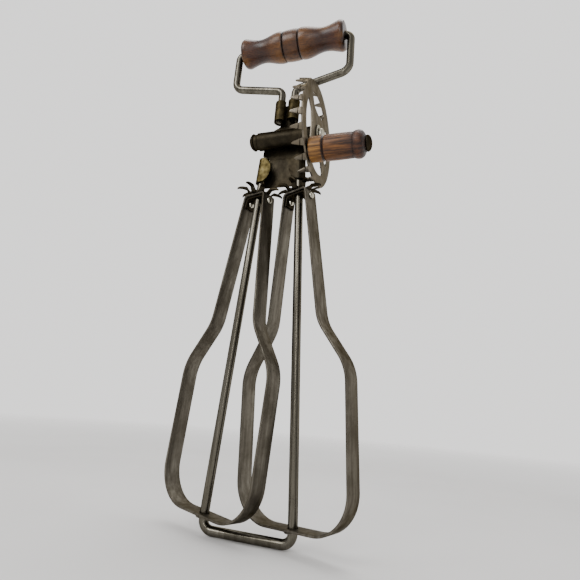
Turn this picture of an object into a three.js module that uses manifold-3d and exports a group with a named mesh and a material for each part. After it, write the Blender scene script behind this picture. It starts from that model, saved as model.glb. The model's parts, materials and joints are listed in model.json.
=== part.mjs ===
// A large two-dasher rotary egg beater: grip wire, pressed frame, crown wheel with a side
// knob, two star pinions and two strip-steel dashers turning on the legs of one bent wire.
//
// Millimetres, +Z up along the tool. The origin is the middle of the top grip, +X points
// along the grip and the crank axle towards the knob, and +Y points to the back of the frame.

import * as THREE from 'three';
import { mergeVertices } from 'three/addons/utils/BufferGeometryUtils.js';
import Module from 'manifold-3d';

const wasm = await Module();
wasm.setup();

// ---------------------------------------------------------------- driving dimensions

const GAP = 0.3; // kept between pieces that touch on the real beater
const SHEET = 1.4; // thickness of the pressed steel
const WIRE = { radius: 3.175, sides: 12 };

const GRIP = {
  halfLength: 46.5,
  endRadius: 12.4,
  waistRadius: 9.6,
  swellRadius: 12.8,
  grooveRadius: 11.7,
  bore: 3.75,
};
const BAIL = { legX: 51.6, cornerZ: -37, neckX: 5.7, neckTopZ: -47.5, endZ: -78, bend: 6 };

const AXLE = { y: -4, z: -98.3, radius: 3.9 };
const SLEEVE = { radius: 7.25, bore: 4.3, left: -20.5, right: 25.6 };

const WHEEL = {
  innerFace: 28.5,
  thickness: 1.5,
  radius: 41.3,
  teeth: 24,
  toothLength: 8.1,
  toothRoot: 5.4,
  toothTip: 1.3,
  toothSplay: 11, // degrees that each tooth leans out from the axle's direction
  firstTooth: 266, // degrees round +X from +Y
  windowInner: 17,
  windowOuter: 31.5,
  windowCentre: 97,
};

const KNOB = { crankRadius: 33, angle: 234, start: 31.4, length: 40.7, radius: 9.35, bore: 2.9 };
const PIN = { radius: 2.4, headRadius: 5.9, headLength: 3.9 };

const PINION = {
  z: -142,
  spacing: 33,
  teeth: 8,
  rootRadius: 7.6,
  tipRadius: 18.5,
  thickness: 1.6,
  dish: 3.2,
  droop: 1.6,
};
const RIGHT_PHASE = -8;
const LEFT_PHASE = 180 - RIGHT_PHASE + 180 / PINION.teeth;

const ROD = { barZ: -391, barHalf: 32, topZ: -113, bend: 7 };
const BAND = {
  width: 13,
  thickness: 1.6,
  top: 4.9, // distances down the rod from the pinion plane
  neckEnd: 110,
  bodyStart: 142,
  bottom: 240,
  neckRadius: 10.1,
  shoulderRadius: 22.5,
  bodyRadius: 44.5,
  cornerRadius: 26,
  angle: -21, // degrees round the rod at rest
  bore: 3.6,
};

const PLATE = { front: 3.55, top: -60, bottom: -137 };

// ---------------------------------------------------------------- materials

const DARK_WOOD = new THREE.MeshStandardMaterial({ color: 0x5a3420, roughness: 0.45, metalness: 0 });
const KNOB_WOOD = new THREE.MeshStandardMaterial({ color: 0x7a4f2c, roughness: 0.6, metalness: 0 });
const WIRE_STEEL = new THREE.MeshStandardMaterial({ color: 0x6e6b60, roughness: 0.38, metalness: 1 });
const STRIP_STEEL = new THREE.MeshStandardMaterial({ color: 0x5c584e, roughness: 0.5, metalness: 1 });
const FRAME_STEEL = new THREE.MeshStandardMaterial({ color: 0x35312b, roughness: 0.6, metalness: 1 });
const WHEEL_STEEL = new THREE.MeshStandardMaterial({ color: 0x77736a, roughness: 0.45, metalness: 1 });
const BRIGHT_STEEL = new THREE.MeshStandardMaterial({ color: 0xa8a28f, roughness: 0.3, metalness: 1 });

// ---------------------------------------------------------------- helpers

const radians = THREE.MathUtils.degToRad;

/** A closed three.js geometry as a solid that can be joined and cut. */
function solid(geometry) {
  const bare = geometry.index ? geometry.toNonIndexed() : geometry.clone();
  bare.deleteAttribute('normal');
  bare.deleteAttribute('uv');
  const merged = mergeVertices(bare, 1e-4);
  const corners = merged.index.array;
  const kept = [];
  for (let i = 0; i < corners.length; i += 3) {
    const [a, b, c] = [corners[i], corners[i + 1], corners[i + 2]];
    if (a !== b && b !== c && c !== a) kept.push(a, b, c);
  }
  return new wasm.Manifold(new wasm.Mesh({
    numProp: 3,
    vertProperties: new Float32Array(merged.attributes.position.array),
    triVerts: new Uint32Array(kept),
  }));
}

/** The three.js geometry of a solid. */
function geometryOf(body) {
  const mesh = body.getMesh();
  const geometry = new THREE.BufferGeometry();
  geometry.setAttribute('position', new THREE.BufferAttribute(new Float32Array(mesh.vertProperties), 3));
  geometry.setIndex(new THREE.BufferAttribute(new Uint32Array(mesh.triVerts), 1));
  geometry.computeVertexNormals();
  return geometry;
}

function union(bodies) {
  return bodies.reduce((joined, body) => joined.add(body));
}

/** A piece turned on a lathe, its profile as [radius, distance along the axis] pairs. */
function turnedGeometry(profile, segments = 24) {
  const points = profile.map(([radius, along]) => new THREE.Vector2(radius, along));
  return new THREE.LatheGeometry(points, segments);
}

const turnedAlongX = (profile, segments) => solid(turnedGeometry(profile, segments).rotateZ(-Math.PI / 2));
const turnedAlongZ = (profile, segments) => solid(turnedGeometry(profile, segments).rotateX(Math.PI / 2));

/** A closed ring profile between two radii and two places along the axis. */
function ringProfile(inner, outer, start, end) {
  return [[inner, start], [outer, start], [outer, end], [inner, end], [inner, start]];
}

/** A solid rod profile. */
function rodProfile(radius, start, end) {
  return [[0, start], [radius, start], [radius, end], [0, end]];
}

/** A closed outline of straight runs with rounded corners: points are [x, y, radius]. */
function roundedOutline(points, closed = true) {
  const outline = [];
  const count = points.length;
  points.forEach(([x, y, radius = 0], i) => {
    const corner = new THREE.Vector2(x, y);
    if (radius === 0 || (!closed && (i === 0 || i === count - 1))) {
      outline.push(corner);
      return;
    }
    const before = new THREE.Vector2(...points[(i + count - 1) % count].slice(0, 2)).sub(corner).normalize();
    const after = new THREE.Vector2(...points[(i + 1) % count].slice(0, 2)).sub(corner).normalize();
    const half = Math.acos(THREE.MathUtils.clamp(before.dot(after), -1, 1)) / 2;
    const start = corner.clone().addScaledVector(before, radius / Math.tan(half));
    const end = corner.clone().addScaledVector(after, radius / Math.tan(half));
    const centre = before.clone().add(after).normalize().multiplyScalar(radius / Math.sin(half)).add(corner);
    const from = Math.atan2(start.y - centre.y, start.x - centre.x);
    let sweep = Math.atan2(end.y - centre.y, end.x - centre.x) - from;
    sweep -= 2 * Math.PI * Math.round(sweep / (2 * Math.PI));
    const steps = Math.max(2, Math.ceil(Math.abs(sweep) / radians(15)));
    for (let k = 0; k <= steps; k++) {
      const angle = from + (sweep * k) / steps;
      const reach = new THREE.Vector2(Math.cos(angle), Math.sin(angle)).multiplyScalar(radius);
      outline.push(reach.add(centre));
    }
  });
  return outline;
}

/** A path whose steps land on its own points, so that long straight runs take one step each. */
class BentRoute extends THREE.Curve {
  constructor(points) {
    super();
    this.points = points;
    this.steps = points.length - 1;
  }

  getPointAt(share) {
    const along = share * this.steps;
    const start = Math.min(Math.floor(along), this.steps - 1);
    return this.points[start].clone().lerp(this.points[start + 1], along - start);
  }

  getTangentAt(share) {
    const middle = Math.round(share * this.steps);
    const run = (i) => {
      const start = Math.min(Math.max(i, 0), this.steps - 1);
      return this.points[start + 1].clone().sub(this.points[start]).normalize();
    };
    return run(middle - 1).add(run(middle)).normalize();
  }
}

/** A round wire that follows a route of [x, z, bend radius] points in the plane y = 0. */
function bentWire(route) {
  const points = roundedOutline(route, false).map(({ x, y }) => new THREE.Vector3(x, 0, y));
  const path = new BentRoute(points);
  const section = circle(WIRE.radius, WIRE.sides);
  return solid(new THREE.ExtrudeGeometry(section, { extrudePath: path, steps: path.steps }));
}

function circle(radius, sides) {
  const points = [];
  for (let k = 0; k < sides; k++) {
    const angle = (2 * Math.PI * k) / sides;
    points.push(new THREE.Vector2(radius * Math.cos(angle), radius * Math.sin(angle)));
  }
  return new THREE.Shape(points);
}

/** A flat sheet with its outline in x and z, and its faces at y = front and y = front + depth. */
function sheetFacingY(shape, front, depth) {
  const geometry = new THREE.ExtrudeGeometry(shape, { depth, bevelEnabled: false });
  return solid(geometry.rotateX(Math.PI / 2).translate(0, front + depth, 0));
}

// ---------------------------------------------------------------- grip and its wire

function gripProfile() {
  const { halfLength, endRadius, waistRadius, swellRadius, grooveRadius, bore } = GRIP;
  const half = [
    [0, swellRadius],
    [5.6, swellRadius - 0.3],
    [6.7, grooveRadius],
    [7.9, swellRadius - 0.3],
    [12, swellRadius],
    [17, swellRadius - 0.9],
    [23, waistRadius + 0.7],
    [28, waistRadius],
    [33.5, waistRadius + 0.4],
    [40, endRadius - 0.8],
    [43, endRadius],
    [45.2, endRadius - 0.5],
    [halfLength, endRadius - 2.2],
  ];
  const left = half.slice(1).reverse().map(([along, radius]) => [radius, -along]);
  const right = half.map(([along, radius]) => [radius, along]);
  return [[bore, -halfLength], ...left, ...right, [bore, halfLength], [bore, -halfLength]];
}

function topGrip() {
  return turnedAlongX(gripProfile(), 24);
}

function handleWire() {
  const { legX, cornerZ, neckX, neckTopZ, endZ, bend } = BAIL;
  const half = [[neckX, endZ], [neckX, neckTopZ, bend], [legX, cornerZ, bend + 3], [legX, 0, bend]];
  const left = half.map(([x, z, radius]) => [-x, z, radius]);
  return bentWire([...left, ...half.reverse()]);
}

// ---------------------------------------------------------------- pressed frame

function plateShape() {
  const { top, bottom } = PLATE;
  const right = [
    [6.3, top, 0],
    [6.3, -80.5, 1],
    [14.5, -84.5, 3],
    [18.5, -96, 6],
    [19.3, -108.4, 3],
    [11.5, -111, 1.2],
    [14.9, -113.8, 0],
    [16.4, bottom, 0],
  ];
  const left = right.map(([x, z, radius]) => [-x, z, radius]).reverse();
  return new THREE.Shape(roundedOutline([...right, ...left]));
}

/** The part of a fold that runs round a wire: a bent strip from back (+Y) to front (-Y). */
function foldRound(side, height, endAngle) {
  const inner = PLATE.front;
  const outer = PLATE.front + SHEET;
  const points = [];
  const steps = 10;
  for (let k = 0; k <= steps; k++) points.push([outer, k / steps]);
  for (let k = steps; k >= 0; k--) points.push([inner, k / steps]);
  const shape = new THREE.Shape(points.map(([radius, share]) => {
    const angle = radians(90 + (endAngle - 90) * share);
    return new THREE.Vector2(-side * radius * Math.cos(angle), radius * Math.sin(angle));
  }));
  return solid(new THREE.ExtrudeGeometry(shape, { depth: height, bevelEnabled: false }));
}

/** An upper ear, folded round one end of the handle wire. */
function upperEar(side) {
  const height = 18.5;
  return foldRound(side, height, 345).translate([side * BAIL.neckX, 0, PLATE.top - height]);
}

/** A lower ear: a fold round the dasher wire that ends in a half-round tab on the front. */
function lowerEar(side) {
  const height = 21.5;
  const tab = new THREE.Shape();
  tab.absellipse(-1, 0, 8.6, height / 2, -Math.PI / 2, Math.PI / 2, false);
  const front = sheetFacingY(new THREE.Shape(tab.getPoints(12)), -PLATE.front - SHEET, SHEET)
    .translate([0, 0, height / 2]);
  const turned = side > 0 ? front.mirror([1, 0, 0]) : front;
  const ear = foldRound(side, height, 270).add(turned);
  const low = new THREE.Vector3(...pointOnRod(side, -6.5));
  return ear.rotate([0, -side * rodTilt(), 0]).translate(low.toArray());
}

function framePlate() {
  const plate = sheetFacingY(plateShape(), PLATE.front, SHEET);
  return union([plate, upperEar(-1), upperEar(1), lowerEar(-1), lowerEar(1)]);
}

function axleSleeve() {
  const { radius, bore, left, right } = SLEEVE;
  return turnedAlongX(ringProfile(bore, radius, left, right), 28).translate([0, AXLE.y, AXLE.z]);
}

// ---------------------------------------------------------------- crank: axle, wheel and knob

const WHEEL_FACE = WHEEL.innerFace + WHEEL.thickness;

/** A window between two spokes: an arc outside, a flatter arc inside, round corners. */
function windowPath(centre) {
  const { windowInner, windowOuter } = WHEEL;
  const corners = [
    [windowOuter, -34, 0], [windowOuter, -22, 0], [windowOuter, -11, 0], [windowOuter, 0, 0],
    [windowOuter, 11, 0], [windowOuter, 22, 0], [windowOuter, 34, 3],
    [windowInner + 4.5, 33, 4], [windowInner, 12, 0], [windowInner - 0.4, 0, 0],
    [windowInner, -12, 0], [windowInner + 4.5, -33, 4],
  ];
  corners[0][2] = 3;
  const points = corners.map(([radius, offset, round]) => {
    const angle = radians(centre + offset);
    return [radius * Math.cos(angle), radius * Math.sin(angle), round];
  });
  return new THREE.Path(roundedOutline(points));
}

/** One crown tooth: a tapered tongue bent over at the rim, its tip leaning out. */
function crownTooth(angle) {
  const { innerFace, radius, toothLength, toothRoot, toothTip, toothSplay, thickness } = WHEEL;
  const rise = innerFace - toothLength;
  const outline = [
    [WHEEL_FACE, -toothRoot / 2], [WHEEL_FACE, toothRoot / 2],
    [innerFace - 0.8, toothRoot / 2 - 0.3], [rise + 0.5, toothTip / 2], [rise, toothTip / 4],
    [rise, -toothTip / 4], [rise + 0.5, -toothTip / 2], [innerFace - 0.8, -toothRoot / 2 + 0.3],
  ];
  const shape = new THREE.Shape(outline.map(([x, across]) => new THREE.Vector2(x, across)));
  const tongue = new THREE.ExtrudeGeometry(shape, { depth: thickness, bevelEnabled: false });
  tongue.rotateX(Math.PI / 2).translate(-WHEEL_FACE, 0, 0).rotateZ(radians(-toothSplay));
  return solid(tongue.translate(WHEEL_FACE, radius, 0).rotateX(radians(angle)));
}

function driveWheel() {
  const { thickness, radius, teeth, firstTooth, windowCentre } = WHEEL;
  const rim = circle(radius - thickness + 0.8, 72);
  for (let k = 0; k < 4; k++) rim.holes.push(windowPath(windowCentre + 90 * k));
  rim.holes.push(new THREE.Path(circle(AXLE.radius + GAP, 20).getPoints()));
  const angle = radians(KNOB.angle);
  const pinPlace = new THREE.Vector2(Math.cos(angle), Math.sin(angle)).multiplyScalar(KNOB.crankRadius);
  const pinHole = circle(PIN.radius + GAP, 16).getPoints().map((point) => point.add(pinPlace));
  rim.holes.push(new THREE.Path(pinHole));
  const flat = new THREE.ExtrudeGeometry(rim, { depth: thickness, bevelEnabled: false });
  // The outline's x and y become the wheel's y and z.
  const turn = new THREE.Matrix4().set(0, 0, 1, WHEEL.innerFace, 1, 0, 0, 0, 0, 1, 0, 0, 0, 0, 0, 1);
  const disc = solid(flat.applyMatrix4(turn));
  const tongues = [];
  for (let k = 0; k < teeth; k++) tongues.push(crownTooth(firstTooth + (360 * k) / teeth));
  return union([disc, ...tongues]);
}

function crankAxle() {
  const { radius } = AXLE;
  const headEnd = SLEEVE.left - 3.6;
  return turnedAlongX([
    [0, headEnd - 4], [3.6, headEnd - 3.6], [6, headEnd - 2.2], [7.1, headEnd - 0.4], [7.1, headEnd],
    [radius, headEnd], [radius, WHEEL_FACE + 1.2], [0, WHEEL_FACE + 1.2],
  ], 24);
}

const axleWasher = () => turnedAlongX(
  ringProfile(AXLE.radius + GAP, 6.3, SLEEVE.left - 3.3, SLEEVE.left - GAP), 24);
const thrustWasher = () => turnedAlongX(
  ringProfile(AXLE.radius + GAP, 8, SLEEVE.right + GAP, WHEEL.innerFace - GAP), 24);
const hubWasher = () => turnedAlongX(
  ringProfile(AXLE.radius + GAP, 7.4, WHEEL_FACE + GAP, WHEEL_FACE + 1.3), 24);

function hubNut() {
  const start = WHEEL_FACE + 1.6;
  return turnedAlongX([
    [0, start], [4.9, start], [4.9, start + 1], [4.4, start + 2.2], [2.8, start + 3.2], [0, start + 3.6],
  ], 20);
}

const knobWasher = () => turnedAlongX(
  ringProfile(PIN.radius + GAP, 6.4, WHEEL_FACE + GAP, KNOB.start - GAP), 20);

function crankKnob() {
  const { start, length, radius, bore } = KNOB;
  const end = start + length;
  return turnedAlongX([
    [bore, start], [radius - 0.7, start], [radius, start + 0.8], [radius, start + 9.6],
    [radius - 1, start + 10.5], [radius, start + 11.4], [radius - 0.2, end - 9.5],
    [radius + 0.5, end - 7.6], [radius + 0.6, end - 3.6], [radius - 0.6, end - 1.6],
    [radius - 2.6, end - 0.6], [6.2, end], [bore, end], [bore, start],
  ], 24);
}

/** The knob's pin: peened on the wheel's inner face, with a domed head past the knob. */
function knobPin() {
  const { radius, headRadius, headLength } = PIN;
  const headStart = KNOB.start + KNOB.length + GAP;
  const peen = WHEEL.innerFace - GAP;
  return turnedAlongX([
    [0, peen - 1.6], [2.6, peen - 1.4], [3.8, peen - 0.6], [3.8, peen], [radius, peen],
    [radius, headStart], [headRadius - 0.3, headStart], [headRadius, headStart + 1],
    [headRadius - 0.9, headStart + 2.8], [headRadius - 2.9, headStart + headLength - 0.7],
    [0, headStart + headLength],
  ], 20);
}

// ---------------------------------------------------------------- pinions and dashers

/** How far a dasher rod leans out from upright, in degrees. */
function rodTilt() {
  const run = ROD.barHalf - PINION.spacing / 2;
  return THREE.MathUtils.radToDeg(Math.atan(run / (PINION.z - ROD.barZ)));
}

/** A point on a rod's centre line, a distance down it from the pinion plane. */
function pointOnRod(side, down) {
  const tilt = radians(rodTilt());
  return [side * (PINION.spacing / 2 + down * Math.sin(tilt)), 0, PINION.z - down * Math.cos(tilt)];
}

/** How far a pinion's sheet lies below its tooth plane at a radius: dished hub, drooping tips. */
function pinionDrop(radius) {
  const { dish, droop, rootRadius, tipRadius } = PINION;
  const riseStart = rootRadius + 1;
  const flatStart = rootRadius + 3.4;
  const flatEnd = tipRadius - 4;
  if (radius < riseStart) return dish;
  if (radius < flatStart) return dish * (flatStart - radius) / (flatStart - riseStart);
  if (radius > flatEnd) return droop * ((radius - flatEnd) / (tipRadius - flatEnd)) ** 2;
  return 0;
}

function starPinion() {
  const { teeth, rootRadius, tipRadius, thickness } = PINION;
  const halfWidths = [
    [rootRadius + 0.9, 2.1], [rootRadius + 3.4, 1.6], [tipRadius - 4, 1.15], [tipRadius - 1.8, 0.8],
    [tipRadius - 0.3, 0.4],
  ];
  const points = [];
  for (let k = 0; k < teeth; k++) {
    const middle = (2 * Math.PI * k) / teeth;
    const place = (radius, across) => {
      const angle = middle + Math.asin(across / radius);
      points.push(new THREE.Vector2(radius * Math.cos(angle), radius * Math.sin(angle)));
    };
    halfWidths.forEach(([radius, half]) => place(radius, -half));
    place(tipRadius, 0);
    [...halfWidths].reverse().forEach(([radius, half]) => place(radius, half));
    const valley = middle + Math.PI / teeth;
    points.push(new THREE.Vector2(rootRadius * Math.cos(valley), rootRadius * Math.sin(valley)));
  }
  const star = new THREE.Shape(points);
  star.holes.push(new THREE.Path(circle(BAND.bore, 16).getPoints()));
  const geometry = new THREE.ExtrudeGeometry(star, { depth: thickness, bevelEnabled: false });
  geometry.translate(0, 0, -thickness / 2);
  const place = geometry.attributes.position;
  for (let i = 0; i < place.count; i++) {
    const radius = Math.hypot(place.getX(i), place.getY(i));
    place.setZ(i, place.getZ(i) - pinionDrop(radius));
  }
  return solid(geometry);
}

/** Half of the band's centre line, as [radius, distance down the rod, bend] points. */
function bandRoute() {
  return [
    [BAND.neckRadius, BAND.top, 2.6],
    [BAND.shoulderRadius, BAND.neckEnd, 30],
    [BAND.bodyRadius, BAND.bodyStart, 30],
    [BAND.bodyRadius, BAND.bottom, BAND.cornerRadius],
  ];
}

/** The band's outline, offset from its centre line towards the outside. */
function bandOutline(offset) {
  const half = bandRoute();
  const centre = roundedOutline([
    ...half.map(([r, down, bend]) => [-r, -down, bend]),
    ...half.map(([r, down, bend]) => [r, -down, bend]).reverse(),
  ]);
  return centre.map((point, i) => {
    const before = centre[(i + centre.length - 1) % centre.length];
    const after = centre[(i + 1) % centre.length];
    const along = after.clone().sub(before).normalize();
    return point.clone().add(new THREE.Vector2(along.y, -along.x).multiplyScalar(offset));
  });
}

/** The shape of a strip of even thickness along an open centre line. */
function stripShape(centre, thickness) {
  const face = (offset) => centre.map((point, i) => {
    const before = centre[Math.max(i - 1, 0)];
    const after = centre[Math.min(i + 1, centre.length - 1)];
    const along = after.clone().sub(before).normalize();
    return point.clone().add(new THREE.Vector2(-along.y, along.x).multiplyScalar(offset));
  });
  return new THREE.Shape([...face(thickness / 2), ...face(-thickness / 2).reverse()]);
}

/** A dasher: one closed band of strip steel, pierced by its rod at the top and the bottom. */
function dasherBand() {
  const { width, thickness, bore } = BAND;
  const shape = new THREE.Shape(bandOutline(thickness / 2));
  shape.holes.push(new THREE.Path(bandOutline(-thickness / 2)));
  const band = sheetFacingY(shape, -width / 2, width);
  const rod = turnedAlongZ(rodProfile(bore, -BAND.bottom - 10, 10), 16);
  return band.subtract(rod).subtract(rivetHoles());
}

const BRACKET = { width: 10, thickness: 1.4, bend: 2.2, legEnd: 14.6 };
const RIVET = { radius: 1.8, headRadius: 2.5, headHeight: 1.6, down: 10.4 };

/** How far out the inner face of a band's neck is, a distance down the rod. */
function neckInside(down) {
  return BAND.neckRadius + neckLean() * (down - BAND.top) - BAND.thickness / 2;
}

/** How much a band's neck widens for each millimetre down the rod. */
function neckLean() {
  return (BAND.shoulderRadius - BAND.neckRadius) / (BAND.neckEnd - BAND.top);
}

/** The bracket inside the neck of a dasher: a bent strip whose legs are riveted to the band. */
function hubBracket() {
  const { width, thickness, bend, legEnd } = BRACKET;
  const inset = GAP + thickness / 2;
  const webDown = BAND.top + BAND.thickness / 2 + inset;
  const half = [[neckInside(legEnd) - inset, -legEnd, 0], [neckInside(webDown) - inset, -webDown, bend]];
  const left = half.map(([radius, z, round]) => [-radius, z, round]);
  const centre = roundedOutline([...left, ...half.reverse()], false);
  const bracket = sheetFacingY(stripShape(centre, thickness), -width / 2, width);
  const bore = turnedAlongZ(rodProfile(BAND.bore, -legEnd, 0), 16);
  return bracket.subtract(bore).subtract(rivetHoles());
}

/** What the two rivets of a dasher pass through, from side to side. */
function rivetHoles() {
  return turnedAlongX(rodProfile(RIVET.radius + GAP, -20, 20), 12).translate([0, 0, -RIVET.down]);
}

/** A rivet through the band and the bracket, round-headed on both faces, on one side of the rod. */
function bandRivet(side) {
  const { radius, headRadius, headHeight, down } = RIVET;
  const clear = neckLean() * headRadius + GAP;
  const outer = neckInside(down) + BAND.thickness + clear;
  const inner = neckInside(down) - GAP - BRACKET.thickness - clear;
  const rivet = turnedAlongX([
    [0, inner - headHeight], [headRadius - 1, inner - headHeight + 0.3], [headRadius, inner - 0.5],
    [headRadius, inner], [radius, inner], [radius, outer], [headRadius, outer], [headRadius, outer + 0.5],
    [headRadius - 1, outer + headHeight - 0.3], [0, outer + headHeight],
  ], 16).translate([0, 0, -down]);
  return side > 0 ? rivet : rivet.rotate([0, 0, 180]);
}

const rodWasher = (start, end) => turnedAlongZ(ringProfile(BAND.bore, 5.6, -end, -start), 20);

function dasherWire() {
  const { barZ, barHalf, topZ, bend } = ROD;
  const topX = PINION.spacing / 2 - (topZ - PINION.z) * Math.tan(radians(rodTilt()));
  return bentWire([[-topX, topZ], [-barHalf, barZ, bend], [barHalf, barZ, bend], [topX, topZ]]);
}

// ---------------------------------------------------------------- assembly

const beater = new THREE.Group();

function place(name, body, material, parent = beater) {
  const mesh = new THREE.Mesh(geometryOf(body), material);
  mesh.name = name;
  parent.add(mesh);
}

place('top_grip', topGrip(), DARK_WOOD);
place('handle_wire', handleWire(), WIRE_STEEL);
place('frame_plate', framePlate(), FRAME_STEEL);
place('axle_sleeve', axleSleeve(), FRAME_STEEL);
place('dasher_wire', dasherWire(), WIRE_STEEL);

const crank = new THREE.Group();
crank.position.set(0, AXLE.y, AXLE.z);
beater.add(crank);
place('drive_wheel', driveWheel(), WHEEL_STEEL, crank);
place('crank_axle', crankAxle(), FRAME_STEEL, crank);
place('axle_washer', axleWasher(), WIRE_STEEL, crank);
place('thrust_washer', thrustWasher(), WIRE_STEEL, crank);
place('hub_washer', hubWasher(), BRIGHT_STEEL, crank);
place('hub_nut', hubNut(), BRIGHT_STEEL, crank);

const knob = new THREE.Group();
const knobAngle = radians(KNOB.angle);
knob.position.set(0, KNOB.crankRadius * Math.cos(knobAngle), KNOB.crankRadius * Math.sin(knobAngle));
crank.add(knob);
place('crank_knob', crankKnob(), KNOB_WOOD, knob);
place('knob_pin', knobPin(), FRAME_STEEL, knob);
place('knob_washer', knobWasher(), WIRE_STEEL, knob);

for (const [name, side, phase] of [['left', -1, LEFT_PHASE], ['right', 1, RIGHT_PHASE]]) {
  const rod = new THREE.Group();
  rod.position.set(...pointOnRod(side, 0));
  rod.rotation.y = radians(-side * rodTilt());
  beater.add(rod);

  const pinion = new THREE.Group();
  pinion.rotation.z = radians(phase);
  rod.add(pinion);
  place(`${name}_pinion`, starPinion(), WHEEL_STEEL, pinion);
  place(`${name}_upper_washer`, rodWasher(1, PINION.dish - PINION.thickness / 2 - GAP), WIRE_STEEL, rod);

  const dasher = new THREE.Group();
  dasher.rotation.z = radians(BAND.angle);
  rod.add(dasher);
  place(`${name}_dasher_band`, dasherBand(), STRIP_STEEL, dasher);
  place(`${name}_hub_bracket`, hubBracket(), FRAME_STEEL, dasher);
  place(`${name}_rivet_inner`, bandRivet(-side), BRIGHT_STEEL, dasher);
  place(`${name}_rivet_outer`, bandRivet(side), BRIGHT_STEEL, dasher);
  place(`${name}_lower_washer`, rodWasher(BAND.bottom + 1.1, BAND.bottom + 2), WIRE_STEEL, rod);
}

export default beater;
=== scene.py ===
"""The looks of a large rotary egg beater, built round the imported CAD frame.

Lengths are millimetres until a piece is finished, which scales it to metres. Each fine piece has
the size and place of the CAD node that it stands for, and rides on that node's body.
"""

import json
import math

import bmesh
import bpy
from mathutils import Matrix, Vector
from mathutils.geometry import delaunay_2d_cdt


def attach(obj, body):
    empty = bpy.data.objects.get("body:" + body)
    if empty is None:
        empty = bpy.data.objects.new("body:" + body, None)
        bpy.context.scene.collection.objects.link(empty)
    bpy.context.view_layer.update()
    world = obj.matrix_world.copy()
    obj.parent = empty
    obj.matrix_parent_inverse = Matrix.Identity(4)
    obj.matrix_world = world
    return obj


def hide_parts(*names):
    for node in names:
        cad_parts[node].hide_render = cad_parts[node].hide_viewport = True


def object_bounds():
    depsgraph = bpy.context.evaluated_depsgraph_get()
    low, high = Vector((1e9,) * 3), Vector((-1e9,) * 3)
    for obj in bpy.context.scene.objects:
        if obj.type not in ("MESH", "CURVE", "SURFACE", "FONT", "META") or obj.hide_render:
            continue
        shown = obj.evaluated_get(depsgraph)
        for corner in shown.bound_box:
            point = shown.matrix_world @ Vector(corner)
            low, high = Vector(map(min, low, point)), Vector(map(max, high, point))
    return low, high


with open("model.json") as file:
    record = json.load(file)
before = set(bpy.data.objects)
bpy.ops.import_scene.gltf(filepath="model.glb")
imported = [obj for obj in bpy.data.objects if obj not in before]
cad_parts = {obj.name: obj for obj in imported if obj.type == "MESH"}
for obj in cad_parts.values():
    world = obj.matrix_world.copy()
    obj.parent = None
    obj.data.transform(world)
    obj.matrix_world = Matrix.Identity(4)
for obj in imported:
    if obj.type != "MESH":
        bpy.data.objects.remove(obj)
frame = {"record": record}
cad_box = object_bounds()

# ---------------------------------------------------------------- driving dimensions

MM = 0.001
TINY = 1e-6
GAP = 0.3
SHEET = 1.4
WIRE_RADIUS = 3.175

GRIP = dict(half=46.5, end=12.4, waist=9.6, swell=12.8, groove=11.5, bore=3.75)
BAIL = dict(leg_x=51.6, corner_z=-37, neck_x=5.7, neck_top=-47.5, end_z=-78, bend=6)

AXLE = dict(y=-4, z=-98.3, radius=3.9, head=7.1, head_length=4.1)
SLEEVE = dict(radius=7.25, bore=4.3, left=-20.5, right=25.6)
WHEEL = dict(face=28.5, thickness=1.5, radius=41.3, teeth=24, tooth_length=8.1, tooth_root=5.4,
             tooth_tip=1.3, splay=11, first_tooth=266, window_in=17, window_out=31.5, window_at=97)
WHEEL_OUT = WHEEL["face"] + WHEEL["thickness"]
AXIS = (0, AXLE["y"], AXLE["z"])
KNOB = dict(crank=33, angle=234, start=31.4, length=40.7, radius=9.35, bore=2.9)
KNOB_AXIS = (0, AXLE["y"] + KNOB["crank"] * math.cos(math.radians(KNOB["angle"])),
             AXLE["z"] + KNOB["crank"] * math.sin(math.radians(KNOB["angle"])))
PIN = dict(radius=2.4, head=5.9, head_length=3.9)
NUT = dict(radius=4.9, height=3.6)
WASHER = dict(axle=6.3, axle_thickness=3, thrust=8, hub=7.4, hub_thickness=1, knob=6.4, dasher=5.6)

PINION = dict(z=-142, spacing=33, teeth=8, root=7.6, tip=18.5, thickness=1.6, dish=3.2, droop=1.6,
              dish_out=8.6, flat_in=11, flat_out=14.5)
# The left pinion mirrors the right one, half a tooth on.
RIGHT_PHASE = -8
PHASE = dict(right=RIGHT_PHASE, left=180 - RIGHT_PHASE + 180 / PINION["teeth"])

ROD = dict(bar_z=-391, bar_half=32, top_z=-113, bend=7)
BAND = dict(width=13, thickness=1.6, top=4.9, neck_end=110, body_start=142, bottom=240, neck=10.1,
            shoulder=22.5, body=44.5, top_bend=2.6, shoulder_bend=30, corner=26, angle=-21, bore=3.6)
BRACKET = dict(width=10, thickness=1.4, bend=2.2, leg_end=14.6)
RIVET = dict(radius=1.8, head=2.5, height=1.6, down=10.4)
PLATE = dict(front=3.55, top=-60, bottom=-137)
UPPER_EAR = dict(height=18.5, wrap=345)
LOWER_EAR = dict(height=21.5, wrap=270, above=6.5, tab_middle=1, tab_reach=8.6)

TILT = math.atan((ROD["bar_half"] - PINION["spacing"] / 2) / (PINION["z"] - ROD["bar_z"]))

# The camera that was fitted to the photograph. Its place and the floor's lengths are metres.
CAMERA = dict(place=(0.11996, -0.28975, -0.31069), lens=27.03, sensor=36)
CAMERA_RIGHT = (0.94561, 0.31489, 0.0817)
CAMERA_UP = (0.01017, -0.27966, 0.96005)
FLOOR = dict(radius=2.5, fade_start=0.6, fade_end=1.6, below=0.0003)

BODY_OF = {node: body for body, nodes in frame["record"]["behaviour"]["bodies"].items() for node in nodes}
SLOT_OF = {entry["node"]: entry["material_slot"] for entry in frame["record"]["subparts"]}


# ---------------------------------------------------------------- outlines

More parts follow.
